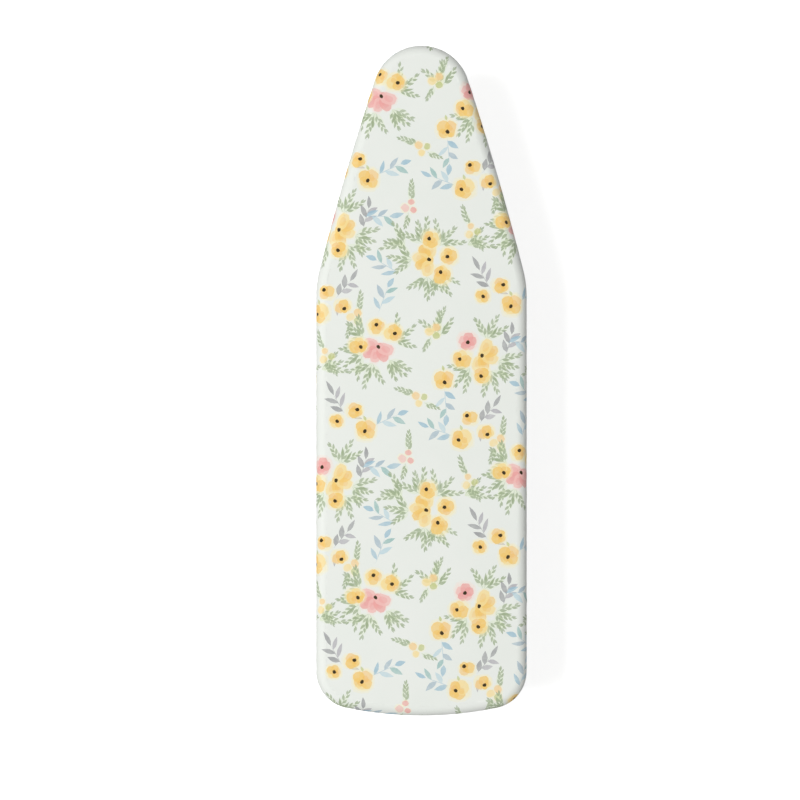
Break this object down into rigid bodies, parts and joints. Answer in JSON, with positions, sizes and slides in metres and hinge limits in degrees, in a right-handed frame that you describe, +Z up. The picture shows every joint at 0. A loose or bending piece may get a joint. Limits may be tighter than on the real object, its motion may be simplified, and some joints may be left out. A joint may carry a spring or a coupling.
{
  "type": "table-top ironing board",
  "caption": "Small padded ironing board with a narrow round nose, a fitted printed cloth cover and two folding U-shaped legs that stand it on a table.",
  "frame": {"origin": "on the table under the middle of the board, at the bottom of the bounding box", "axes": "+Z up, +Y along the board towards its narrow nose, +X across the board"},
  "size_m": [0.22, 0.7, 0.15],
  "materials": {
    "printed_cotton": "pale cotton printed with small yellow, pink, green and blue flowers",
    "elastic": "white woven elastic",
    "foam": "open-cell foam",
    "enamelled_steel": "satin light grey enamel",
    "white_tube": "white powder coat",
    "zinc_steel": "bright zinc plate",
    "rubber": "matt dark grey rubber",
    "nylon": "moulded natural nylon"
  },
  "bodies": {
    "board": {"cover": "printed_cotton", "hem_elastic": "elastic", "foam_pad": "foam", "deck_sheet": "enamelled_steel", "deck_rim": "enamelled_steel", "front_channel": "enamelled_steel", "rear_channel": "enamelled_steel", "centre_rib": "enamelled_steel", "front_axle": "zinc_steel", "front_left_bracket": "zinc_steel", "front_left_rivet_1": "zinc_steel", "front_left_rivet_2": "zinc_steel", "front_left_axle_cap": "nylon", "front_left_washer": "nylon", "front_right_bracket": "zinc_steel", "front_right_rivet_1": "zinc_steel", "front_right_rivet_2": "zinc_steel", "front_right_axle_cap": "nylon", "front_right_washer": "nylon", "front_storage_clip": "nylon", "front_clip_rivet": "zinc_steel", "rear_axle": "zinc_steel", "rear_left_bracket": "zinc_steel", "rear_left_rivet_1": "zinc_steel", "rear_left_rivet_2": "zinc_steel", "rear_left_axle_cap": "nylon", "rear_left_washer": "nylon", "rear_right_bracket": "zinc_steel", "rear_right_rivet_1": "zinc_steel", "rear_right_rivet_2": "zinc_steel", "rear_right_axle_cap": "nylon", "rear_right_washer": "nylon", "rear_storage_clip": "nylon", "rear_clip_rivet": "zinc_steel"},
    "front_leg": {"front_leg_tube": "white_tube", "front_left_foot": "rubber", "front_right_foot": "rubber"},
    "rear_leg": {"rear_leg_tube": "white_tube", "rear_left_foot": "rubber", "rear_right_foot": "rubber"}
  },
  "joints": [
    {"name": "front_leg_hinge", "type": "hinge", "parent": "board", "child": "front_leg", "pos_m": [0, 0.185, 0.115], "axis": [-1, 0, 0], "range_deg": [0, 102]},
    {"name": "rear_leg_hinge", "type": "hinge", "parent": "board", "child": "rear_leg", "pos_m": [0, -0.235, 0.115], "axis": [1, 0, 0], "range_deg": [0, 102]}
  ]
}
